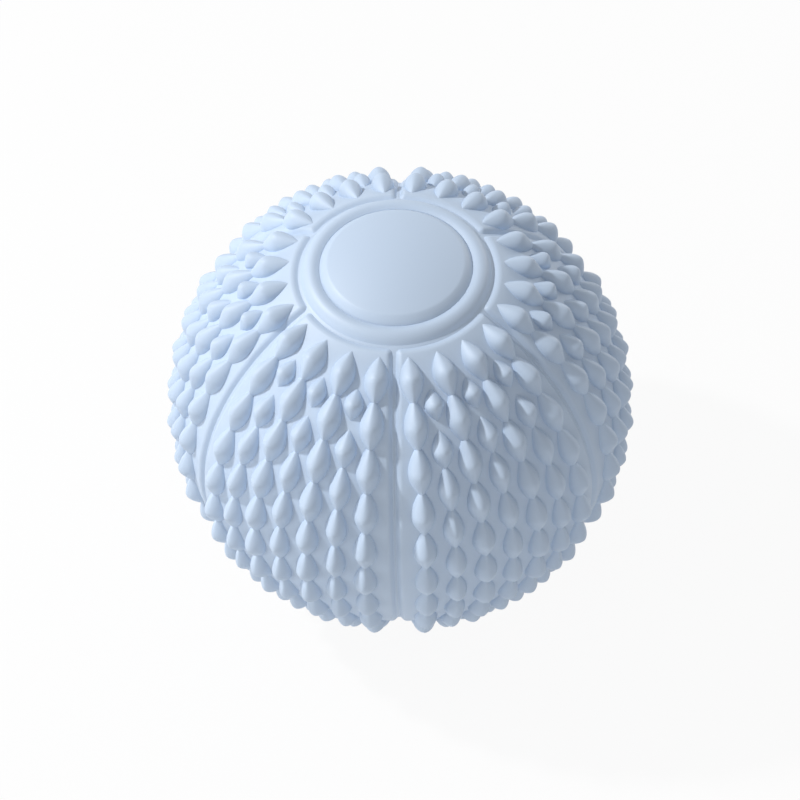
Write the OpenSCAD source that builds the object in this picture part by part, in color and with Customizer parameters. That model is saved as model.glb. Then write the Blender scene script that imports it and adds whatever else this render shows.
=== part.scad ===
// Dryer ball: six soft nubbed panels on a hollow two-part core, a round collar at each pole,
// and a plug cap that carries a scent pad in a slotted basket.
// Millimetres, +Z through the poles, origin at the centre of the ball.

/* [Ball] */
// Diameter over the smooth skin between the nubs
ball_d = 66; // [64:1:74]
// Thickness of the soft panels without their nubs
panel_t = 2.9; // [2.4:0.1:3.4]
// Radius of the rounded lips along the seams between panels
lip_r = 1.2; // [0.8:0.1:1.5]
// Radius of the rounded panel edge around each pole
rim_r = 0.7; // [0.5:0.1:1]
// Gap between neighbouring panels at the bottom of a seam
seam_gap = 0.3; // [0.2:0.05:0.5]

/* [Nubs] */
// Length of a nub along its meridian
nub_l = 6.2; // [5.4:0.1:6.3]
// Width of a nub where it meets the skin
nub_w = 3.3; // [2.6:0.1:3.5]
// Height of a nub above the skin
nub_h = 2; // [1.4:0.1:2.2]
// How far the sharp ridge of a nub is rounded down
nub_crest = 0.16; // [0.08:0.02:0.24]
// Latitude of the first row of nubs
row_first = 57; // [55:0.5:58]
// Latitude step between rows in one column
row_pitch = 11.15; // [11:0.05:11.3]
// Longitude step between neighbouring columns
column_pitch = 7.5; // [7:0.1:7.6]
// Size of the nubs in the short columns compared with the long columns
short_scale = 0.92; // [0.8:0.02:1]
// Size of the first nub in each short column compared with the long columns
short_first_scale = 0.75; // [0.6:0.05:0.9]

/* [Poles] */
// Diameter of the cap disc
cap_d = 21.4; // [20.4:0.2:22.4]
// Diameter of the domed face of the cap disc, inside its bevel
cap_face_d = 19.6; // [18:0.2:20]
// Depth of the bevel around the cap disc
cap_bevel = 0.9; // [0.7:0.1:1.2]
// Width of the collar ring around the cap
collar_w = 2.75; // [2.4:0.05:3]
// Radius of the rounded crest of the collar, as a share of the collar's width
bead_round = 0.6; // [0.56:0.02:0.66]
// How far the collar's crest lies below the skin of the ball
bead_sunk = 0.2; // [0.1:0.1:0.4]
// How far the collar's outer edge lies below the skin of the ball
collar_edge = 0.6; // [0.5:0.1:0.8]

/* [Core] */
// Wall of the hollow core
core_t = 2; // [1.6:0.1:2.4]
// Wall of the neck that the cap plugs into
neck_t = 1.8; // [1.5:0.1:2]
// Depth of the neck below the cap
neck_l = 9; // [7:0.5:11]
// Height of the tongue where the two halves of the core lap
tongue_l = 2.4; // [1.6:0.2:3.2]
// Width of the vent slots under the seams
vent_w = 1.6; // [1:0.1:2]
// Length of the vent slots
vent_l = 12; // [8:1:14]
// Latitude of the middle of the vent slots
vent_lat = 22; // [20:1:24]
// Radius of the pegs that hold a panel on the core
peg_r = 1.5; // [1.2:0.1:1.8]
// Latitude of the pegs nearest the equator, above and below it
peg_lat_low = 14; // [12:1:16]
// Latitude of the pegs nearest the poles
peg_lat_high = 40; // [38:1:42]

/* [Cap and scent basket] */
// Height of the cap disc at its edge and down to its seat
cap_t = 3; // [2.6:0.1:3.4]
// Wall of the cap plug below the disc
plug_t = 2.1; // [1.9:0.1:2.4]
// Length of the wide part of the plug, which carries the seal
plug_l = 5.1; // [4.6:0.1:5.6]
// Length of the spigot that the basket is pressed on
spigot_l = 3; // [2:0.2:4]
// Thickness of the seal ring
seal_d = 1.2; // [1:0.1:1.3]
// Length of the scent basket
basket_l = 19.3; // [16:0.5:20]
// Wall of the scent basket
basket_t = 1; // [0.8:0.1:1.2]
// Number of windows around the basket
window_n = 8; // [6:1:10]
// Width of a basket window
window_w = 2.4; // [1.6:0.2:3]
// Wall left above and below the basket windows
window_margin = 2; // [1:0.5:3]
// Radius of the hole in the basket's floor
drain_r = 2; // [1:0.5:3]
// Thickness of the basket's floor
basket_floor = 1.2; // [1:0.1:1.6]
// Free height between the scent pad and the cap
pad_room = 2; // [0.5:0.5:5]
// Gap around the scent pad in its basket
pad_gap = 0.4; // [0.2:0.1:0.8]

/* [Fits] */
// Glue line between a panel and the core
bond_gap = 0.1; // [0.05:0.05:0.2]
// Gap between fixed pieces that are pressed or glued together
fit_gap = 0.1; // [0.05:0.05:0.15]
// Gap between the moving cap and the pieces around it
move_gap = 0.3; // [0.25:0.05:0.4]
// Gap between the seal ring and the neck bore
seal_gap = 0.05; // [0.03:0.01:0.08]
// Gap between a collar and the panels
rim_gap = 0.15; // [0.1:0.05:0.25]

/* [Hidden] */
$fn = 96;
panel_n = 6;
panel_angle = 360 / panel_n;
// The seam between the first and the last panel faces -Y
panel_first = -90 + panel_angle / 2;
long_columns = 4;
short_columns = 3;
long_rows = 11;
short_rows = 10;
skin = "#bccde3";
core_white = "#e9ecee";
seal_grey = "#5c6570";
pad_cream = "#efe8d6";
// An arc that rounds an edge is this much larger than the corner it fills, so that it crosses both faces
cross = 1.04;
// How far a cutting or joining shape runs past a face
over = 1;
// How far the flat on the core's pole stops short of the collar's outer wall
collar_overhang = 0.7;
// Offset of the collar's crest towards the pole, as a share of the collar's width
bead_shift = 0.26;
// How far the base plug's dome stands over the skin before its foot is cut flat
foot_rise = 0.4;
// Head of a panel peg: how far it stands out, the length of its rim and of its point
peg_head_out = 0.5;
peg_head_l = 0.7;
peg_point_l = 0.7;
base_plug_l = 5;
peg_lats = [peg_lat_low, peg_lat_high];

ball_r = ball_d / 2;
panel_ri = ball_r - panel_t;
core_r = panel_ri - bond_gap;
core_ri = core_r - core_t;

cap_r = cap_d / 2;
face_z = sqrt(pow(ball_r, 2) - pow(cap_face_d / 2, 2));
seat_z = face_z - cap_t;
collar_ri = cap_r + move_gap;
collar_ro = collar_ri + collar_w;
rim_bore = collar_ro + rim_gap;
neck_ro = collar_ri - fit_gap;
neck_ri = neck_ro - neck_t;
neck_top = seat_z - fit_gap;
pole_z = sqrt(pow(core_r, 2) - pow(collar_ro - collar_overhang, 2));
collar_seat = pole_z + fit_gap;
bead_r = collar_w * bead_round;
bead_x = (collar_ri + collar_ro) / 2 - collar_w * bead_shift;
bead_z = sqrt(pow(ball_r, 2) - pow(bead_x, 2)) - bead_sunk - bead_r;
collar_edge_z = sqrt(pow(ball_r, 2) - pow(collar_ro, 2)) - collar_edge;

plug_ro = neck_ri - move_gap;
plug_ri = plug_ro - plug_t;
plug_low = seat_z - plug_l;
basket_ri = plug_ro - basket_t;
spigot_ro = basket_ri - fit_gap;
basket_top = plug_low - fit_gap;
basket_low = basket_top - basket_l;
spigot_low = plug_low - spigot_l;
seal_r = neck_ri - seal_gap - seal_d / 2;
seal_z = seat_z - plug_l / 2;
groove_ri = seal_r - seal_d / 2 - seal_gap;
groove_l = seal_d + 2 * seal_gap;
window_low = basket_low + basket_floor + window_margin;
window_l = spigot_low - window_margin - window_low;
pad_r = basket_ri - pad_gap;
pad_low = basket_low + basket_floor + fit_gap;
pad_l = spigot_low - pad_room - pad_low;

// A nub is a lens on edge: two flank spheres side by side, trimmed by a crest sphere between them
nub_top = nub_h + nub_crest;
lens_r = (pow(nub_l / 2, 2) + pow(nub_top, 2)) / (2 * nub_top);
lens_depth = lens_r - nub_top;
flank_off = (pow(nub_l / 2, 2) / (nub_w / 2) - nub_w / 2) / 2;
flank_r = sqrt(pow(lens_r, 2) + pow(flank_off, 2));
// How deep the root of a nub goes into its panel
nub_root = panel_t / 2;

module nub() {
  intersection() {
    translate([-lens_depth, flank_off, 0]) rotate([90, 0, 0]) sphere(flank_r);
    translate([-lens_depth, -flank_off, 0]) rotate([90, 0, 0]) sphere(flank_r);
    translate([-lens_depth, 0, 0]) rotate([90, 0, 0]) sphere(lens_r - nub_crest);
    translate([-nub_root, -nub_w, -nub_l]) cube([nub_root + 2 * nub_h, 2 * nub_w, 2 * nub_l]);
  }
}

// Puts a child that points along +X onto the sphere at a latitude and longitude
module on_ball(lat, lon, r) {
  rotate([0, -lat, lon]) translate([r, 0, 0]) children();
}

module nub_columns() {
  for (c = [0:long_columns - 1], i = [0:long_rows - 1])
    on_ball(row_first - row_pitch * i, (2 * c - long_columns + 1) * column_pitch, ball_r)
      nub();
  for (c = [0:short_columns - 1], i = [0:short_rows - 1])
    on_ball(row_first - row_pitch * (i + 0.5), (2 * c - short_columns + 1) * column_pitch, ball_r)
      scale(i == 0 ? short_first_scale : short_scale) nub();
}

// Corner left over outside an arc that rounds an edge: at is the arc's centre
module corner_cut(at, r, points) {
  difference() {
    polygon(concat([at], points));
    translate(at) circle(cross * r);
  }
}

// Section of a panel: a band of the ball, rounded where it ends around each pole
module panel_section() {
  x = rim_bore + rim_r;
  z = sqrt(pow(ball_r - rim_r, 2) - pow(x, 2));
  out = (ball_r + rim_r) / (ball_r - rim_r);
  difference() {
    intersection() {
      circle(ball_r);
      translate([rim_bore, -ball_r]) square([ball_r, ball_d]);
    }
    circle(panel_ri);
    for (side = [-1, 1])
      scale([1, side])
        corner_cut([x, z], rim_r, [[x * out, z * out], [rim_bore - rim_r, ball_r], [rim_bore - rim_r, z]]);
  }
}

// What is cut from one side of a panel: half of the seam gap and the corner outside its rounded lip
module seam_cut(side) {
  u = seam_gap / 2 + lip_r;
  x = sqrt(pow(ball_r - lip_r, 2) - pow(u, 2));
  out = (ball_r + lip_r) / (ball_r - lip_r);
  rotate([0, 0, side * panel_angle / 2])
    translate([0, -seam_gap / 2, -ball_r])
      cube([ball_d, seam_gap, ball_d]);
  rotate([90 * side, 0, side * panel_angle / 2])
    rotate_extrude()
      corner_cut([x, u], lip_r, [[x * out, u * out], [ball_r + lip_r, -lip_r], [x, -lip_r]]);
}

// Peg on the back of a panel: its head is pushed through a hole in the core and springs open behind it
module panel_peg() {
  head_r = peg_r + peg_head_out;
  rim_top = core_ri - move_gap;
  rim_low = rim_top - peg_head_l;
  point = rim_low - peg_point_l;
  rotate([0, 90, 0])
    rotate_extrude()
      polygon([
        [0, point], [peg_r, point], [head_r, rim_low], [head_r, rim_top],
        [peg_r, rim_top], [peg_r, panel_ri + over], [0, panel_ri + over]
      ]);
}

module panel_pegs() {
  for (lat = peg_lats, side = [-1, 1])
    rotate([0, -side * lat, 0]) panel_peg();
}

module nub_panel(i) {
  color(skin)
    rotate([0, 0, panel_first + panel_angle * i])
      union() {
        difference() {
          rotate([0, 0, -panel_angle / 2]) rotate_extrude(angle = panel_angle) panel_section();
          seam_cut(1);
          seam_cut(-1);
        }
        nub_columns();
        panel_pegs();
      }
}

// Section of one half of the core, with its neck at the pole; the equator edge is left plain
module core_section(neck_low) {
  difference() {
    intersection() {
      circle(core_r);
      translate([neck_ri, 0]) square([core_r, pole_z]);
    }
    circle(core_ri);
  }
  translate([neck_ri, neck_low]) square([neck_ro - neck_ri, neck_top - neck_low]);
}

// Holes in one half of the core for the panel pegs, and the vents that open behind the seams
module core_holes() {
  for (i = [0:panel_n - 1]) {
    for (lat = peg_lats)
      on_ball(lat, panel_first + panel_angle * i, core_ri - over)
        rotate([0, 90, 0]) cylinder(r = peg_r + fit_gap, h = core_t + 2 * over);
    on_ball(vent_lat, panel_first + panel_angle * (i + 0.5), core_ri - over)
      translate([0, -vent_w / 2, -vent_l / 2]) cube([core_t + 2 * over, vent_w, vent_l]);
  }
}

// Upper core half: a recess inside its edge takes the tongue of the lower half
module core_top() {
  color(core_white)
    difference() {
      rotate_extrude()
        difference() {
          core_section(neck_top - neck_l);
          square([core_r - core_t / 2 + fit_gap / 2, tongue_l + fit_gap]);
        }
      core_holes();
    }
}

// Lower core half: the same shell turned over, with a tongue standing above its edge
module core_bottom() {
  color(core_white)
    union() {
      mirror([0, 0, 1])
        difference() {
          rotate_extrude()
            difference() {
              core_section(neck_top - base_plug_l);
              translate([0, -over]) square([core_r + over, over + fit_gap / 2]);
            }
          core_holes();
        }
      rotate_extrude()
        translate([core_ri - fit_gap, -over])
          square([core_t / 2 + fit_gap / 2, tongue_l + over]);
    }
}

// Collar ring around a pole: a flat-bottomed ring whose rounded crest slopes away to its outer edge
module collar() {
  bead = [bead_x, bead_z];
  edge = [collar_ro, collar_edge_z];
  turn = atan2(edge[1] - bead_z, edge[0] - bead_x) + acos(bead_r / cross / norm(edge - bead));
  crest = bead + bead_r / cross * [cos(turn), sin(turn)];
  past = crest + (edge - crest) * (1 + over);
  color(skin)
    rotate_extrude()
      intersection() {
        translate([collar_ri, collar_seat]) square([collar_w, ball_r]);
        union() {
          polygon([
            [collar_ri - over, collar_seat - over], [past[0], collar_seat - over], past, crest, bead,
            [collar_ri - over, bead_z]
          ]);
          translate(bead) circle(bead_r);
        }
      }
}

module top_collar() {
  collar();
}

module base_collar() {
  mirror([0, 0, 1]) collar();
}

// Disc that closes a pole: a dome, hollow behind, bevelled down at its edge
module pole_disc(dome_r) {
  bevel_z = face_z - cap_bevel;
  bevel_w = cap_r - cap_face_d / 2;
  // The line of the bevel runs on until it is clear of the dome
  rise = dome_r + over - bevel_z;
  difference() {
    intersection() {
      polygon([
        [0, seat_z], [cap_r, seat_z], [cap_r, bevel_z],
        [max(over, cap_r - rise * bevel_w / cap_bevel), bevel_z + rise], [0, bevel_z + rise]
      ]);
      circle(dome_r);
    }
    intersection() {
      circle(dome_r - cap_t);
      square([plug_ri, ball_r]);
    }
  }
}

// Cap: the disc, a hollow plug with a groove for the seal, and a spigot that holds the basket
module cap() {
  color(skin)
    rotate_extrude()
      difference() {
        union() {
          pole_disc(ball_r);
          translate([plug_ri, plug_low]) square([plug_t, plug_l + over]);
          translate([plug_ri, spigot_low]) square([spigot_ro - plug_ri, spigot_l + over]);
        }
        translate([groove_ri, seal_z - groove_l / 2]) square([plug_t, groove_l]);
      }
}

module cap_seal() {
  color(seal_grey)
    rotate_extrude()
      translate([seal_r, seal_z]) circle(d = seal_d);
}

// Scent basket: a slotted cup pressed on the spigot of the cap
module scent_basket() {
  color(core_white)
    difference() {
      rotate_extrude()
        union() {
          translate([basket_ri, basket_low]) square([basket_t, basket_l]);
          translate([drain_r, basket_low]) square([plug_ro - drain_r, basket_floor]);
        }
      for (i = [0:window_n - 1])
        rotate([0, 0, 360 / window_n * i])
          translate([basket_ri - over, -window_w / 2, window_low])
            cube([basket_t + 2 * over, window_w, window_l]);
    }
}

module scent_pad() {
  color(pad_cream)
    translate([0, 0, pad_low]) cylinder(r = pad_r, h = pad_l);
}

// Base plug: the disc the ball stands on, with a flat foot, fixed in the neck of the lower core half
module base_plug() {
  color(skin)
    mirror([0, 0, 1])
      rotate_extrude() {
        intersection() {
          pole_disc(ball_r + foot_rise);
          square([ball_r, ball_r]);
        }
        translate([plug_ri, neck_top - base_plug_l])
          square([neck_ri - fit_gap - plug_ri, base_plug_l + over]);
      }
}

nub_panel(0);  // nub_panel_1
nub_panel(1);  // nub_panel_2
nub_panel(2);  // nub_panel_3
nub_panel(3);  // nub_panel_4
nub_panel(4);  // nub_panel_5
nub_panel(5);  // nub_panel_6
core_top();
core_bottom();
top_collar();
base_collar();
base_plug();
cap();
cap_seal();
scent_basket();
scent_pad();
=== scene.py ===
import math

import bmesh
import bpy
import numpy as np
from mathutils import Matrix, Vector


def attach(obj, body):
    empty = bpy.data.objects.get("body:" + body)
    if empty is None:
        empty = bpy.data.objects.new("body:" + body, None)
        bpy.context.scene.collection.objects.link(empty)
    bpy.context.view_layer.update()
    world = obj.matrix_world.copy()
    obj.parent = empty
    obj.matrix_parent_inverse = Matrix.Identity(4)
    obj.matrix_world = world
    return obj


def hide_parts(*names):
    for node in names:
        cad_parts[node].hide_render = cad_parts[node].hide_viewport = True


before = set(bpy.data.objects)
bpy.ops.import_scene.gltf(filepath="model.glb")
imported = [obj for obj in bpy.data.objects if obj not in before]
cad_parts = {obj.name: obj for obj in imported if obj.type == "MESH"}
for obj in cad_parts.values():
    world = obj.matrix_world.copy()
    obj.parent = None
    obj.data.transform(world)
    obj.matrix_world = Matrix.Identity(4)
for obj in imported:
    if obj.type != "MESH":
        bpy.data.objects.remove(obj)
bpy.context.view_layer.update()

scene = bpy.context.scene
scene.view_settings.view_transform = "Standard"

# Core halves: a hollow ball of stiff, milky polypropylene, moulded in two cups that lap at the equator.
# Only the neck and the inside wall show, once the cap is out. The CAD shells are right, so they stay
# and get the waxy finish of an unpainted moulding.
MM = 0.001  # pieces are drawn in millimetres and degrees, and made in metres
CLOUD_DETAIL, GRAIN_DETAIL = 3.0, 4.0


def moulding(name, colour, drift, drift_mm, rough, rough_spread, grain_mm, grain_depth_mm):
    """Moulded plastic: slow colour drift, uneven gloss and a fine grain from the mould's surface."""
    mat = bpy.data.materials.new(name)
    mat.use_nodes = True
    tree = mat.node_tree
    shader = tree.nodes["Principled BSDF"]
    place = tree.nodes.new("ShaderNodeTexCoord")

    def noise(size_mm, detail):
        node = tree.nodes.new("ShaderNodeTexNoise")
        node.inputs["Scale"].default_value = 1.0 / (size_mm * MM)
        node.inputs["Detail"].default_value = detail
        tree.links.new(place.outputs["Object"], node.inputs["Vector"])
        return node

    cloud = noise(drift_mm, CLOUD_DETAIL)
    tint = tree.nodes.new("ShaderNodeMix")
    tint.data_type = "RGBA"
    tint.inputs["A"].default_value = (*(c * (1 - drift) for c in colour), 1)
    tint.inputs["B"].default_value = (*(min(1, c * (1 + drift)) for c in colour), 1)
    tree.links.new(cloud.outputs["Fac"], tint.inputs["Factor"])
    tree.links.new(tint.outputs["Result"], shader.inputs["Base Color"])

    grain = noise(grain_mm, GRAIN_DETAIL)
    gloss = tree.nodes.new("ShaderNodeMapRange")
    gloss.inputs["To Min"].default_value = rough - rough_spread
    gloss.inputs["To Max"].default_value = rough + rough_spread
    tree.links.new(grain.outputs["Fac"], gloss.inputs["Value"])
    tree.links.new(gloss.outputs["Result"], shader.inputs["Roughness"])

    bump = tree.nodes.new("ShaderNodeBump")
    bump.inputs["Strength"].default_value = 1.0
    bump.inputs["Distance"].default_value = grain_depth_mm * MM
    tree.links.new(grain.outputs["Fac"], bump.inputs["Height"])
    tree.links.new(bump.outputs["Normal"], shader.inputs["Normal"])
    return mat


milky_core = moulding("milky_core", colour=(0.76, 0.80, 0.83), drift=0.04, drift_mm=9.0,
                      rough=0.46, rough_spread=0.06, grain_mm=0.30, grain_depth_mm=0.012)
for half in ("core_top", "core_bottom"):
    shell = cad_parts[half]
    shell.data.materials.clear()
    shell.data.materials.append(milky_core)

# Nubbed panels: six gores of soft pale blue thermoplastic rubber, each moulded in one piece with its nubs
# and with four snap pegs on its back. They are glued to the core side by side, and their rolled edges
# leave narrow grooves with a flat floor between them.
PANEL_COUNT = 6
BALL_R = 33.0
PANEL_BACK_R = 30.1
GORE_HALF = 30.0
SEAM_HALF_GAP = 0.006
RIM_R = 13.74
SEAM_BEND_R, SEAM_BEND, SEAM_LEDGE = 0.85, 47.0, 0.23
RIM_BEND_R, RIM_BEND, RIM_LEDGE = 1.0, 48.0, 0.08
EDGE_DEPTHS = (0, 0.006, 0.022, 0.055, 0.10, 0.16, 0.235, 0.32, 0.43, 0.535, 0.61, 0.614)
EDGE_STEPS = len(EDGE_DEPTHS) - 1
CORNER_POWER, FLOOR_CORNER_POWER = 2.4, 28.0
SKIN_ACROSS, SKIN_ALONG = 56, 124

LONG_COLUMNS, SHORT_COLUMNS = (-22.5, -7.5, 7.5, 22.5), (-15.0, 0.0, 15.0)
ROW_FIRST, ROW_PITCH = 57.0, 11.15
LONG_ROWS = 11
SHORT_FROM, SHORT_ROWS = 2, 10
LONG_NUB, SHORT_NUB = (1.68, 1.96), (1.52, 1.84)
UPPER_NUB, LONE_NUB = (34.7, 44.25, 1.52, 1.80), (46.3, 54.3, 1.38, 1.58)
NUB_TIP, NUB_NECK, SLIM_NECK = (0.012, -0.02), (0.30, 0.28), (0.20, 0.12)
NUB_ROOT = 1.5
NUB_RINGS, NUB_ARC = 30, 22
PEAK_AT, SIDE_POWER, RIDGE_SOFT = -0.08, 1.85, 0.20
ROOF_MIDDLE, ROOF_TIP, ROOF_FADE = 1.72, 1.36, 1.5

PEG_LATS = (-40.0, -14.0, 14.0, 40.0)
PEG_LINE = ((0, 31.2), (1.5, 31.2), (1.5, 27.7), (2.0, 27.7), (2.0, 27.0), (1.5, 26.3), (0, 26.3))
PEG_SIDES = 32

NO_LENGTH = 1e-12
ON_AXIS = 1e-6


def on_ball(lat, lon, r):
    """Point at a latitude and longitude, r from the ball's centre."""
    la, lo = np.radians(lat), np.radians(lon)
    return np.stack([r * np.cos(la) * np.cos(lo), r * np.cos(la) * np.sin(lo), r * np.sin(la)], -1)


def unit(v):
    """Vectors of the same directions, each one long."""
    return v / np.maximum(np.linalg.norm(v, axis=-1, keepdims=True), NO_LENGTH)


def across_from(direction, axis):
    """What is left of a direction at right angles to an axis."""
    return direction - (direction * axis).sum(-1, keepdims=True) * axis


def mesh_of(name, points, faces):
    """Mesh with its faces turned outwards."""
    mesh = bpy.data.meshes.new(name)
    mesh.from_pydata((np.asarray(points) * MM).tolist(), [], faces)
    mesh.validate()
    form = bmesh.new()
    form.from_mesh(mesh)
    bmesh.ops.recalc_face_normals(form, faces=form.faces)
    form.to_mesh(mesh)
    form.free()
    return mesh


def piece(name, mesh, material, crease=35.0):
    """Object of one mesh, shaded smooth but for edges sharper than the crease angle."""
    mesh.polygons.foreach_set("use_smooth", [True] * len(mesh.polygons))
    mesh.set_sharp_from_angle(angle=math.radians(crease))
    mesh.materials.clear()
    mesh.materials.append(material)
    made = bpy.data.objects.new(name, mesh)
    scene.collection.objects.link(made)
    return made


def fused(body, tool, operation):
    """Mesh of one solid joined to, or cut by, another."""
    first = bpy.data.objects.new("fuse_body", body)
    second = bpy.data.objects.new("fuse_tool", tool)
    for ob in (first, second):
        scene.collection.objects.link(ob)
    step = first.modifiers.new("fuse", "BOOLEAN")
    step.operation = operation
    step.solver = "MANIFOLD"
    step.object = second
    ready = first.evaluated_get(bpy.context.evaluated_depsgraph_get())
    result = bpy.data.meshes.new_from_object(ready)
    for ob in (first, second):
        bpy.data.objects.remove(ob)
    return result


def spun(outline, steps):
    """Points and faces of a solid of revolution from an outline of (radius, height)."""
    angle = np.linspace(0, 2 * math.pi, steps, endpoint=False)
    points, rings, faces = [], [], []
    for r, z in outline:
        if r < ON_AXIS:
            rings.append([len(points)] * steps)
            points.append((0, 0, z))
        else:
            rings.append(list(range(len(points), len(points) + steps)))
            points += [(r * math.cos(t), r * math.sin(t), z) for t in angle]
    closed = outline[0][0] > ON_AXIS
    for k in range(len(outline) if closed else len(outline) - 1):
        a, b = rings[k], rings[(k + 1) % len(outline)]
        for i in range(steps):
            j = (i + 1) % steps
            corner = [a[i], a[j], b[j], b[i]]
            face = [c for n, c in enumerate(corner) if c not in corner[:n]]
            if len(face) > 2:
                faces.append(face)
    return points, faces


def edge_run(bend_r, bend_deg, ledge):
    """How far a panel's edge has run outwards at each of its depths: rolled first, then straight, and at the
    last depth along a flat ledge, which is half of the groove's floor."""
    bend = math.radians(bend_deg)
    rolled = bend_r * (1 - math.cos(bend))
    run = []
    for depth in EDGE_DEPTHS[:-1]:
        if depth < rolled:
            run.append(bend_r * math.sin(math.acos(1 - depth / bend_r)))
        else:
            run.append(bend_r * math.sin(bend) + (depth - rolled) / math.tan(bend))
    return np.array(run + [run[-1] + ledge])


def gore_shell():
    """Panel without nubs, centred on +X: skin, rolled edges, walls and back, as one closed shell."""
    deep = np.array(EDGE_DEPTHS)
    seam_run = edge_run(SEAM_BEND_R, SEAM_BEND, SEAM_LEDGE)
    rim_run = edge_run(RIM_BEND_R, RIM_BEND, RIM_LEDGE)
    floor_r = BALL_R - deep[-1]
    top = math.degrees(math.acos(RIM_R / math.hypot(floor_r, rim_run[-1]))
                       - math.atan2(rim_run[-1], floor_r))
    lat = np.linspace(-top, top, SKIN_ALONG + 1)
    lean = (SEAM_HALF_GAP + seam_run[-1]) / floor_r
    side = np.degrees(np.arcsin(lean / np.cos(np.radians(lat))))
    across = np.linspace(-1, 1, SKIN_ACROSS + 1)

    columns, rows = SKIN_ACROSS + 1 + 2 * EDGE_STEPS, SKIN_ALONG + 1 + 2 * EDGE_STEPS
    column, row = np.meshgrid(np.arange(columns) - EDGE_STEPS, np.arange(rows) - EDGE_STEPS)
    skin_column, skin_row = np.clip(column, 0, SKIN_ACROSS), np.clip(row, 0, SKIN_ALONG)
    past_side, past_end = np.abs(column - skin_column), np.abs(row - skin_row)
    base = on_ball(lat[skin_row], across[skin_column] * (GORE_HALF - side[skin_row]), BALL_R)
    up = unit(base)

    turn = np.radians(GORE_HALF) * np.where(across[skin_column] < 0, -1, 1)
    seam_out = np.stack([-np.sin(turn), np.cos(turn), 0 * turn], -1) * np.sign(turn)[..., None]
    seam_way = unit(across_from(seam_out, up))
    pole_out = -unit(np.stack([base[..., 0], base[..., 1], 0 * turn], -1))
    pole_way = unit(across_from(pole_out, up))

    level = np.maximum(past_side, past_end)
    side_part = seam_run[past_side] / np.where(level > 0, seam_run[level], 1)
    end_part = rim_run[past_end] / np.where(level > 0, rim_run[level], 1)
    power = np.where(level < EDGE_STEPS, CORNER_POWER, FLOOR_CORNER_POWER)
    spread = np.maximum(side_part ** power + end_part ** power, NO_LENGTH)
    pull = np.where(level > 0, spread ** (-1 / power), 1)
    skin = (base + (seam_run[past_side] * pull)[..., None] * seam_way
            + (rim_run[past_end] * pull)[..., None] * pole_way - deep[level][..., None] * up)

    on_edge = (level > 0)[..., None]
    wall_out = (np.where((past_side > 0)[..., None], seam_out, 0)
                + np.where((past_end > 0)[..., None], pole_out, 0))
    wall_out = unit(np.where(on_edge, wall_out, up))
    down = -unit(np.where(on_edge, across_from(up, wall_out), up))
    along = (skin * down).sum(-1)
    foot = -along - np.sqrt(np.maximum(0, along ** 2 - ((skin ** 2).sum(-1) - PANEL_BACK_R ** 2)))
    wall_foot = skin + foot[..., None] * down
    share = (level / EDGE_STEPS)[..., None]
    back = PANEL_BACK_R * unit((1 - share) * up * PANEL_BACK_R + share * wall_foot)

    n = columns * rows
    number = np.arange(n).reshape(rows, columns)
    quad = np.stack([number[:-1, :-1], number[:-1, 1:], number[1:, 1:], number[1:, :-1]], -1).reshape(-1, 4)
    edge = np.concatenate([number[0, :], number[1:, -1], number[-1, -2::-1], number[-2:0:-1, 0]])
    after = np.roll(edge, -1)
    wall = np.stack([after, edge, edge + n, after + n], -1)
    faces = quad.tolist() + (quad[:, ::-1] + n).tolist() + wall.tolist()
    return np.concatenate([skin.reshape(-1, 3), back.reshape(-1, 3)]), faces


def nub_chains():
    """Every column of one gore as chains of nubs, from the bottom up. A nub is given by the latitudes of its
    lower and upper end, its half width and height, and the share of both that is left at each end."""
    half = ROW_PITCH / 2
    chains = []
    for lon in LONG_COLUMNS:
        nubs = []
        for i in reversed(range(LONG_ROWS)):
            mid = ROW_FIRST - ROW_PITCH * i
            low_end = NUB_TIP if i == LONG_ROWS - 1 else NUB_NECK
            high_end = NUB_TIP if i == 0 else NUB_NECK
            nubs.append((mid - half, mid + half, *LONG_NUB, low_end, high_end))
        chains.append((lon, nubs))
    for lon in SHORT_COLUMNS:
        nubs = []
        for i in reversed(range(SHORT_FROM, SHORT_ROWS)):
            mid = ROW_FIRST - ROW_PITCH * (i + 0.5)
            low_end = NUB_TIP if i == SHORT_ROWS - 1 else NUB_NECK
            high_end = SLIM_NECK if i == SHORT_FROM else NUB_NECK
            nubs.append((mid - half, mid + half, *SHORT_NUB, low_end, high_end))
        nubs.append((*UPPER_NUB, SLIM_NECK, NUB_TIP))
        chains.append((lon, nubs))
        chains.append((lon, [(*LONE_NUB, NUB_TIP, NUB_TIP)]))
    return chains


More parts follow.
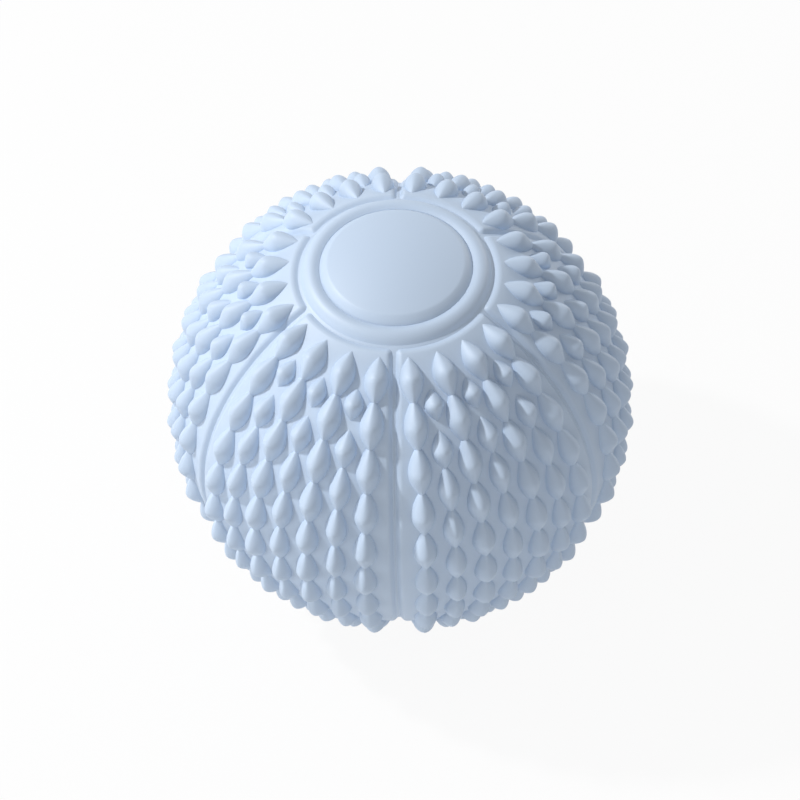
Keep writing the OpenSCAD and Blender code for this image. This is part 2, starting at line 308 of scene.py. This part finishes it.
def chain_body(lon, nubs):
    """One chain as a closed body with a deep root: roof-like across, swelling and pinching along its column."""
    run = np.linspace(-1, 1, NUB_RINGS + 1)
    below = run < PEAK_AT
    from_peak = np.where(below, (PEAK_AT - run) / (1 + PEAK_AT), (run - PEAK_AT) / (1 - PEAK_AT))
    fall = ((np.sqrt(from_peak ** 2 + RIDGE_SOFT ** 2) - RIDGE_SOFT)
            / (math.sqrt(1 + RIDGE_SOFT ** 2) - RIDGE_SOFT))
    pinch = from_peak ** SIDE_POWER
    roof = ROOF_MIDDLE + (ROOF_TIP - ROOF_MIDDLE) * np.abs(run) ** ROOF_FADE
    rings = []
    for k, (low, high, half_w, height, low_end, high_end) in enumerate(nubs):
        left_w = np.where(below, low_end[0], high_end[0])
        left_h = np.where(below, low_end[1], high_end[1])
        lat = (low + high) / 2 + (high - low) / 2 * run
        width = half_w * (1 - (1 - left_w) * pinch)
        ridge = height * (1 - (1 - left_h) * fall)
        rings.append(np.stack([lat, width, ridge, roof], -1)[1 if k else 0:])
    lat, width, ridge, power = np.concatenate(rings).T[..., None]

    arc = np.linspace(-math.pi / 2, math.pi / 2, NUB_ARC + 1)
    girth = (np.abs(np.sin(arc)) ** power + np.abs(np.cos(arc)) ** power) ** (1 / power)
    y, z = width * np.sin(arc) / girth, ridge * np.cos(arc) / girth
    y = np.concatenate([y, y[:, -1:], y[:, :1]], 1)
    z = np.concatenate([z, np.full((len(z), 2), -NUB_ROOT)], 1)
    spot = on_ball(lat + 0 * y, lon + np.degrees(y / (BALL_R * np.cos(np.radians(lat)))), BALL_R + z)

    count, around = y.shape
    faces = []
    for i in range(count - 1):
        for k in range(around):
            m = (k + 1) % around
            faces.append([i * around + k, i * around + m, (i + 1) * around + m, (i + 1) * around + k])
    faces += [list(reversed(range(around))), [(count - 1) * around + k for k in range(around)]]
    return spot.reshape(-1, 3), faces


def peg_body(lat):
    """Snap peg on the panel's back: a stem with a head that springs open behind the core's wall."""
    points, faces = spun(PEG_LINE, PEG_SIDES)
    x, y, z = np.array(points).T
    la = math.radians(lat)
    return np.stack([z * math.cos(la) - x * math.sin(la), y, z * math.sin(la) + x * math.cos(la)], -1), faces


def together(bodies):
    """Several bodies as one list of points and faces."""
    points, faces, start = [], [], 0
    for body_points, body_faces in bodies:
        points.append(np.asarray(body_points))
        faces += [[start + v for v in face] for face in body_faces]
        start += len(body_points)
    return np.concatenate(points), faces


soft_blue = moulding("soft_blue_rubber", colour=(0.515, 0.624, 0.775), drift=0.012, drift_mm=14.0,
                     rough=0.52, rough_spread=0.05, grain_mm=0.22, grain_depth_mm=0.010)
nubs_and_pegs = together([chain_body(*chain) for chain in nub_chains()] + [peg_body(lat) for lat in PEG_LATS])
gore = fused(mesh_of("gore_shell", *gore_shell()), mesh_of("gore_nubs", *nubs_and_pegs), "UNION")
for i in range(PANEL_COUNT):
    skin = gore.copy()
    skin.name = "nub_panel_skin_%d" % (i + 1)
    skin.transform(Matrix.Rotation(math.radians(2 * GORE_HALF * (i - 1)), 4, "Z"))
    panel = piece("soft_panel_%d" % (i + 1), skin, soft_blue)
    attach(panel, "ball")
    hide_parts("nub_panel_%d" % (i + 1))

# Collars: a ring at each pole, moulded in the same pale blue but stiffer plastic, with a rounded crest near its
# bore, a slope that steepens outwards and a narrow flange at its foot, where the panels' rims meet it. They are
# pressed over the necks of the core.
TURN_STEPS = 192
COLLAR_RI, COLLAR_RO, COLLAR_SEAT = 10.97, 13.735, 27.11
COLLAR_LIP_RI, COLLAR_LIP_Z = 10.785, 30.55
LIP_UPRIGHT, LIP_DEPTH = 0.2, 0.5
COLLAR_SLOPES = ((COLLAR_LIP_RI, -24), (11.1, -22), (11.3, -18), (11.68, -3), (11.89, 8), (12.28, 23.5),
                 (12.68, 38), (13.0, 51), (13.36, 64), (13.42, 27), (COLLAR_RO, 27))
COLLAR_STEP = 0.03


def turned(name, outline, steps=TURN_STEPS):
    """Mesh of a solid of revolution."""
    return mesh_of(name, *spun(outline, steps))


def sloped(z_start, slopes, step):
    """Outline that starts at a height and falls outwards at angles given at some radii; below 0 it rises."""
    at, fall = zip(*slopes)
    r = np.linspace(at[0], at[-1], int((at[-1] - at[0]) / step) + 2)
    slope = np.tan(np.radians(np.interp(r, at, fall)))
    drop = np.concatenate([[0], np.cumsum((slope[1:] + slope[:-1]) / 2 * np.diff(r))])
    return [(float(a), float(b)) for a, b in zip(r, z_start - drop)]


def turned_over(outline):
    """The same outline at the lower pole."""
    return [(r, -z) for r, z in outline]


stiff_blue = moulding("stiff_blue_plastic", colour=(0.515, 0.624, 0.775), drift=0.010, drift_mm=12.0,
                      rough=0.48, rough_spread=0.05, grain_mm=0.25, grain_depth_mm=0.008)
collar_line = [(COLLAR_RI, COLLAR_SEAT), (COLLAR_RI, COLLAR_LIP_Z - LIP_DEPTH),
               (COLLAR_LIP_RI, COLLAR_LIP_Z - LIP_UPRIGHT),
               *sloped(COLLAR_LIP_Z, COLLAR_SLOPES, COLLAR_STEP), (COLLAR_RO, COLLAR_SEAT)]
for name, line, node in (("top_ring", collar_line, "top_collar"),
                         ("base_ring", turned_over(collar_line), "base_collar")):
    ring = piece(name, turned(name, line), stiff_blue)
    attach(ring, "ball")
    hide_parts(node)

# Base plug: the domed disc the ball stands on, with a flat foot in its middle, moulded with a short hollow stem
# and pressed into the lower neck of the core for good. Its bevelled edge is like the cap's at the other pole.
DISC_SEAT, DISC_WALL = 28.511, 3.0
DISC_R, DISC_EDGE_R = 10.66, 10.77
EDGE_TUCK, EDGE_DROP, EDGE_UNDERCUT = 0.02, 0.06, 0.4
SEAT_ROUND = 0.15
FOOT_Z, FOOT_DOME_R = 33.0, 33.4
FOOT_SLOPES = ((0, 0), (4.3, 0), (5.4, 9.3), (9.0, 15.6), (9.5, 44), (DISC_EDGE_R, 46.3))
FOOT_STEP = 0.12
STEM_RI, STEM_RO, STEM_LOW = 6.7, 9.0, 23.411
STEM_ROUND_RI, STEM_ROUND_RO = 0.2, 0.3


def rounded(corners, steps=6):
    """Outline from corners of (radius, height, rounding); a rounding of 0 leaves the corner sharp."""
    made = []
    for k, (r, z, rounding) in enumerate(corners):
        corner = Vector((r, z))
        if rounding == 0:
            made.append(tuple(corner))
            continue
        to_last = (Vector(corners[k - 1][:2]) - corner).normalized()
        to_next = (Vector(corners[(k + 1) % len(corners)][:2]) - corner).normalized()
        half = to_last.angle(to_next) / 2
        middle = corner + (to_last + to_next).normalized() * (rounding / math.sin(half))
        reach = rounding / math.tan(half)
        start, end = corner + to_last * reach - middle, corner + to_next * reach - middle
        sweep = start.angle_signed(end)
        for n in range(steps + 1):
            made.append(tuple(middle + Matrix.Rotation(-sweep * n / steps, 2) @ start))
    return made


def disc_side(edge_z):
    """Corners of a pole disc's side, from the low end of its bevel to its seat."""
    return [(DISC_EDGE_R - EDGE_TUCK, edge_z - EDGE_DROP, 0), (DISC_R, edge_z - EDGE_UNDERCUT, 0),
            (DISC_R, DISC_SEAT, SEAT_ROUND)]


def ceiling(dome_r, steps=14):
    """Hollow behind a pole disc: a dome at the disc's wall thickness, from the stem's bore to the axis."""
    inner = dome_r - DISC_WALL
    radii = [STEM_RI * (1 - k / steps) for k in range(steps + 1)]
    return [(r, math.sqrt(inner ** 2 - r ** 2)) for r in radii]


foot_face = sloped(FOOT_Z, FOOT_SLOPES, FOOT_STEP)
foot_side = disc_side(foot_face[-1][1]) + [
    (STEM_RO, DISC_SEAT, 0), (STEM_RO, STEM_LOW, STEM_ROUND_RO), (STEM_RI, STEM_LOW, STEM_ROUND_RI),
    (STEM_RI, DISC_SEAT, 0)]
foot_line = foot_face + rounded(foot_side) + ceiling(FOOT_DOME_R)
plug = piece("foot_disc", turned("foot_disc", turned_over(foot_line)), stiff_blue)
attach(plug, "ball")
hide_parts("base_plug")

# Cap: a disc at the upper pole whose dome carries on the ball's round, on a hollow plug that slides out of the
# neck. A groove round the plug holds the seal, and a thinner spigot below carries the scent basket.
CAP_TOP = 33.0
CAP_SLOPES = ((0, 0), (9.5, 16.75), (9.75, 34), (10.1, 40), (10.5, 48), (DISC_EDGE_R, 52))
CAP_STEP = 0.1
PLUG_RO, PLUG_LOW = 8.8, 23.411
PLUG_ROUND_TOP, PLUG_ROUND_LOW = 0.25, 0.2
GROOVE_RI, GROOVE_LOW, GROOVE_TOP = 7.8, 25.311, 26.611
GROOVE_ROUND_RI, GROOVE_ROUND_RO = 0.1, 0.12
SPIGOT_RO, SPIGOT_LOW = 7.7, 20.411
SPIGOT_ROUND_TOP, SPIGOT_ROUND_RO, SPIGOT_ROUND_RI = 0.1, 0.3, 0.2

cap_face = sloped(CAP_TOP, CAP_SLOPES, CAP_STEP)
cap_side = disc_side(cap_face[-1][1]) + [
    (PLUG_RO, DISC_SEAT, PLUG_ROUND_TOP),
    (PLUG_RO, GROOVE_TOP, GROOVE_ROUND_RO), (GROOVE_RI, GROOVE_TOP, GROOVE_ROUND_RI),
    (GROOVE_RI, GROOVE_LOW, GROOVE_ROUND_RI), (PLUG_RO, GROOVE_LOW, GROOVE_ROUND_RO),
    (PLUG_RO, PLUG_LOW, PLUG_ROUND_LOW), (SPIGOT_RO, PLUG_LOW, SPIGOT_ROUND_TOP),
    (SPIGOT_RO, SPIGOT_LOW, SPIGOT_ROUND_RO), (STEM_RI, SPIGOT_LOW, SPIGOT_ROUND_RI),
    (STEM_RI, DISC_SEAT, 0)]
cap_line = cap_face + rounded(cap_side) + ceiling(CAP_TOP)
cap = piece("plug_cap", turned("plug_cap", cap_line), stiff_blue)
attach(cap, "cap")
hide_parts("cap")

# Seal: a moulded ring of grey rubber, stretched into the groove of the plug. A fine flash line runs round it
# where the two halves of its mould met.
SEAL_R, SEAL_Z, SEAL_HALF = 8.45, 25.961, 0.6
FLASH_OUT, FLASH_HALF = 0.03, 0.14
SEAL_STEPS = 72

seal_line = []
for n in range(SEAL_STEPS):
    t = 2 * math.pi * n / SEAL_STEPS
    thick = SEAL_HALF + FLASH_OUT * max(0, 1 - abs(math.sin(t)) / FLASH_HALF)
    seal_line.append((SEAL_R + thick * math.cos(t), SEAL_Z + thick * math.sin(t)))
grey_rubber = moulding("grey_seal_rubber", colour=(0.105, 0.125, 0.15), drift=0.10, drift_mm=4.0,
                       rough=0.62, rough_spread=0.08, grain_mm=0.12, grain_depth_mm=0.010)
seal = piece("seal_ring", turned("seal_ring", seal_line), grey_rubber)
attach(seal, "cap")
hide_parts("cap_seal")

# Scent basket: a thin white cup with eight round-ended windows and a drain hole, pressed on the cap's spigot.
# Moulded in polypropylene with softened rims.
BASKET_RI, BASKET_RO = 7.8, 8.8
BASKET_LOW, BASKET_TOP, BASKET_FLOOR = 4.011, 23.311, 5.211
BASKET_ROUND_LOW, BASKET_ROUND_RIM, BASKET_ROUND_FLOOR = 0.6, 0.25, 0.3
DRAIN_R, DRAIN_ROUND_TOP, DRAIN_ROUND_LOW = 2.0, 0.2, 0.3
WINDOW_COUNT, WINDOW_W, WINDOW_LOW, WINDOW_L = 8, 2.4, 7.211, 11.2
WINDOW_ARC = 12
CUTTER_SPARE = 1


def window_cutters():
    """Round-ended bars that cut the windows, one pointing out through the wall at each place."""
    line = []
    half = WINDOW_W / 2
    for end, turn in ((WINDOW_LOW + WINDOW_L - half, 0), (WINDOW_LOW + half, math.pi)):
        for n in range(WINDOW_ARC + 1):
            t = turn + math.pi * n / WINDOW_ARC
            line.append((half * math.cos(t), end + half * math.sin(t)))
    points, faces = [], []
    m = len(line)
    for k in range(WINDOW_COUNT):
        t = 2 * math.pi * k / WINDOW_COUNT
        start = len(points)
        for r in (BASKET_RI - CUTTER_SPARE, BASKET_RO + CUTTER_SPARE):
            points += [(r * math.cos(t) - y * math.sin(t), r * math.sin(t) + y * math.cos(t), z)
                       for y, z in line]
        faces += [[start + i, start + (i + 1) % m, start + m + (i + 1) % m, start + m + i] for i in range(m)]
        faces += [[start + i for i in reversed(range(m))], [start + m + i for i in range(m)]]
    return mesh_of("window_cutters", points, faces)


basket_line = rounded([
    (BASKET_RO, BASKET_LOW, BASKET_ROUND_LOW), (BASKET_RO, BASKET_TOP, BASKET_ROUND_RIM),
    (BASKET_RI, BASKET_TOP, BASKET_ROUND_RIM), (BASKET_RI, BASKET_FLOOR, BASKET_ROUND_FLOOR),
    (DRAIN_R, BASKET_FLOOR, DRAIN_ROUND_TOP), (DRAIN_R, BASKET_LOW, DRAIN_ROUND_LOW)])
white_cup = moulding("white_cup_plastic", colour=(0.80, 0.82, 0.83), drift=0.03, drift_mm=6.0,
                     rough=0.40, rough_spread=0.06, grain_mm=0.20, grain_depth_mm=0.008)
cup = fused(turned("scent_cup", basket_line), window_cutters(), "DIFFERENCE")
basket = piece("scent_cup", cup, white_cup)
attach(basket, "cap")
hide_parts("scent_basket")

# Scent pad: a plug of thick cream wool felt, die-cut and dropped into the cup. Its faces crown a little, its
# edges are fuzzy and rounded, and its side is never quite even.
PAD_R, PAD_LOW, PAD_TOP = 7.4, 5.311, 18.411
PAD_EDGE, PAD_EDGE_STEPS, PAD_CROWN = 1.6, 10, 0.35
PAD_CELL, PAD_SIDES, PAD_CREASE = 0.35, 128, 80.0
DENT_SEED, DENT_WAVES, DENT_RATE = 7, 40, 1.1
DENT_DEPTH, DENT_MEAN = 0.12, 1.4

pad_line = rounded([(0, PAD_LOW, 0), (PAD_R, PAD_LOW, PAD_EDGE), (PAD_R, PAD_TOP, PAD_EDGE), (0, PAD_TOP, 0)],
                   PAD_EDGE_STEPS)
fine_line = []
for (r0, z0), (r1, z1) in zip(pad_line, pad_line[1:]):
    parts = max(1, int(math.hypot(r1 - r0, z1 - z0) / PAD_CELL))
    fine_line += [(r0 + (r1 - r0) * k / parts, z0 + (z1 - z0) * k / parts) for k in range(parts)]
fine_line.append(pad_line[-1])
pad_mesh = turned("felt_plug", fine_line, PAD_SIDES)
felt = np.empty(len(pad_mesh.vertices) * 3)
pad_mesh.vertices.foreach_get("co", felt)
felt = felt.reshape(-1, 3) / MM
pad_middle = np.array([0, 0, (PAD_LOW + PAD_TOP) / 2])
rng = np.random.default_rng(DENT_SEED)
dent = np.zeros(len(felt))
for _ in range(DENT_WAVES):
    wave = rng.normal(0, DENT_RATE, 3)
    dent += np.sin(felt @ wave + rng.uniform(0, 2 * math.pi)) / math.sqrt(DENT_WAVES)
crown = PAD_CROWN * (np.hypot(felt[:, 0], felt[:, 1]) / PAD_R) ** 2
to_face = np.abs(felt[:, 2] - pad_middle[2]) / ((PAD_TOP - PAD_LOW) / 2)
felt[:, 2] -= np.sign(felt[:, 2] - pad_middle[2]) * crown * to_face
felt = pad_middle + (felt - pad_middle) * (1 - DENT_DEPTH * (DENT_MEAN + dent)[:, None] / PAD_R)
pad_mesh.vertices.foreach_set("co", (felt * MM).ravel())
pad_mesh.update()

cream_felt = moulding("cream_felt", colour=(0.80, 0.74, 0.60), drift=0.10, drift_mm=1.2,
                      rough=0.95, rough_spread=0.04, grain_mm=0.16, grain_depth_mm=0.10)
pad = piece("felt_plug", pad_mesh, cream_felt, PAD_CREASE)
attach(pad, "cap")
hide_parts("scent_pad")

# Floor and light, in metres: a plain white floor, one small hard lamp up on the left and a little behind, three
# weak panels low round the ball, and even air. Floor and air are whiter to the camera than to the ball, and the
# floor keeps the ball's shadow.
FLOOR_HALF = 6.0
FLOOR_WHITE, FLOOR_PAINT, FLOOR_ROUGH = 0.93, 0.80, 0.9
AIR_LIGHT = 0.40
LAMP_AWAY = 0.42
PANEL_RISE, PANEL_SIZE = 9.0, 0.18


def sight_ray(nodes, links):
    """Socket that is 1 for what the camera sees, directly, mirrored or through something clear."""
    ray = nodes.new("ShaderNodeLightPath")
    total = ray.outputs["Is Camera Ray"]
    for kind in ("Is Glossy Ray", "Is Transmission Ray"):
        both = nodes.new("ShaderNodeMath")
        both.operation = "MAXIMUM"
        links.new(total, both.inputs[0])
        links.new(ray.outputs[kind], both.inputs[1])
        total = both.outputs[0]
    return total


def studio_lamp(name, turn, rise, size, power):
    """Round lamp aimed at the ball; it is turned from the viewer's side towards the right, and raised."""
    light = bpy.data.lights.new(name, "AREA")
    light.shape = "DISK"
    light.size = size
    light.energy = power
    lamp = bpy.data.objects.new(name, light)
    turn, rise = math.radians(turn), math.radians(rise)
    lamp.location = LAMP_AWAY * Vector((math.cos(rise) * math.sin(turn), -math.cos(rise) * math.cos(turn),
                                        math.sin(rise)))
    lamp.rotation_euler = (-lamp.location).to_track_quat("-Z", "Y").to_euler()
    scene.collection.objects.link(lamp)


floor_mesh = bpy.data.meshes.new("studio_floor")
floor_z = -FOOT_Z * MM
floor_mesh.from_pydata([(-FLOOR_HALF, -FLOOR_HALF, floor_z), (FLOOR_HALF, -FLOOR_HALF, floor_z),
                        (FLOOR_HALF, FLOOR_HALF, floor_z), (-FLOOR_HALF, FLOOR_HALF, floor_z)],
                       [], [(0, 1, 2, 3)])
floor_mat = bpy.data.materials.new("studio_floor")
floor_mat.use_nodes = True
nodes, links = floor_mat.node_tree.nodes, floor_mat.node_tree.links
paint = nodes["Principled BSDF"]
paint.inputs["Base Color"].default_value = (FLOOR_PAINT, FLOOR_PAINT, FLOOR_PAINT, 1)
paint.inputs["Roughness"].default_value = FLOOR_ROUGH
glow = nodes.new("ShaderNodeEmission")
glow.inputs["Strength"].default_value = 1.0
seen = nodes.new("ShaderNodeMixShader")
seen.inputs["Fac"].default_value = FLOOR_WHITE
pick = nodes.new("ShaderNodeMixShader")
links.new(paint.outputs["BSDF"], seen.inputs[1])
links.new(glow.outputs["Emission"], seen.inputs[2])
links.new(sight_ray(nodes, links), pick.inputs["Fac"])
links.new(paint.outputs["BSDF"], pick.inputs[1])
links.new(seen.outputs["Shader"], pick.inputs[2])
links.new(pick.outputs["Shader"], nodes["Material Output"].inputs["Surface"])
floor_mesh.materials.append(floor_mat)
floor = bpy.data.objects.new("studio_floor", floor_mesh)
scene.collection.objects.link(floor)

world = bpy.data.worlds.new("studio_air")
scene.world = world
world.use_nodes = True
nodes, links = world.node_tree.nodes, world.node_tree.links
nodes.clear()
air = nodes.new("ShaderNodeBackground")
air.inputs["Strength"].default_value = AIR_LIGHT
white = nodes.new("ShaderNodeBackground")
white.inputs["Strength"].default_value = 1.0
for node in (air, white):
    node.inputs["Color"].default_value = (1, 1, 1, 1)
pick = nodes.new("ShaderNodeMixShader")
out = nodes.new("ShaderNodeOutputWorld")
links.new(sight_ray(nodes, links), pick.inputs["Fac"])
links.new(air.outputs["Background"], pick.inputs[1])
links.new(white.outputs["Background"], pick.inputs[2])
links.new(pick.outputs["Shader"], out.inputs["Surface"])

studio_lamp("key_lamp", turn=-103.0, rise=48.0, size=0.03, power=1.19)
studio_lamp("left_panel", turn=-70.0, rise=PANEL_RISE, size=PANEL_SIZE, power=0.32)
studio_lamp("front_panel", turn=8.0, rise=PANEL_RISE, size=PANEL_SIZE, power=0.145)
studio_lamp("back_panel", turn=140.0, rise=PANEL_RISE, size=PANEL_SIZE, power=0.24)

# Camera: a long lens 36 cm from the ball's centre, looking down at 52 degrees on to one seam, turned a little
# about its own axis as the photograph is.
CAMERA_RISE, CAMERA_SIDE, CAMERA_ROLL = math.radians(52.41), math.radians(2.50), math.radians(-1.89)
CAMERA_AWAY = 0.3600
CAMERA_LENS, CAMERA_SENSOR = 108.1, 36.0
CAMERA_SHIFT = (-0.0004, -0.0002)
CAMERA_NEAR = 0.01

view = bpy.data.cameras.new("camera")
view.sensor_width = CAMERA_SENSOR
view.lens = CAMERA_LENS
view.shift_x, view.shift_y = CAMERA_SHIFT
view.clip_start = CAMERA_NEAR
back = Vector((math.cos(CAMERA_RISE) * math.sin(CAMERA_SIDE), -math.cos(CAMERA_RISE) * math.cos(CAMERA_SIDE),
               math.sin(CAMERA_RISE)))
level = Vector((math.cos(CAMERA_SIDE), math.sin(CAMERA_SIDE), 0))
plumb = back.cross(level)
right = level * math.cos(CAMERA_ROLL) + plumb * math.sin(CAMERA_ROLL)
upward = plumb * math.cos(CAMERA_ROLL) - level * math.sin(CAMERA_ROLL)
camera = bpy.data.objects.new("camera", view)
camera.matrix_world = Matrix((
    (right.x, upward.x, back.x, back.x * CAMERA_AWAY),
    (right.y, upward.y, back.y, back.y * CAMERA_AWAY),
    (right.z, upward.z, back.z, back.z * CAMERA_AWAY),
    (0, 0, 0, 1)))
scene.collection.objects.link(camera)
scene.camera = camera
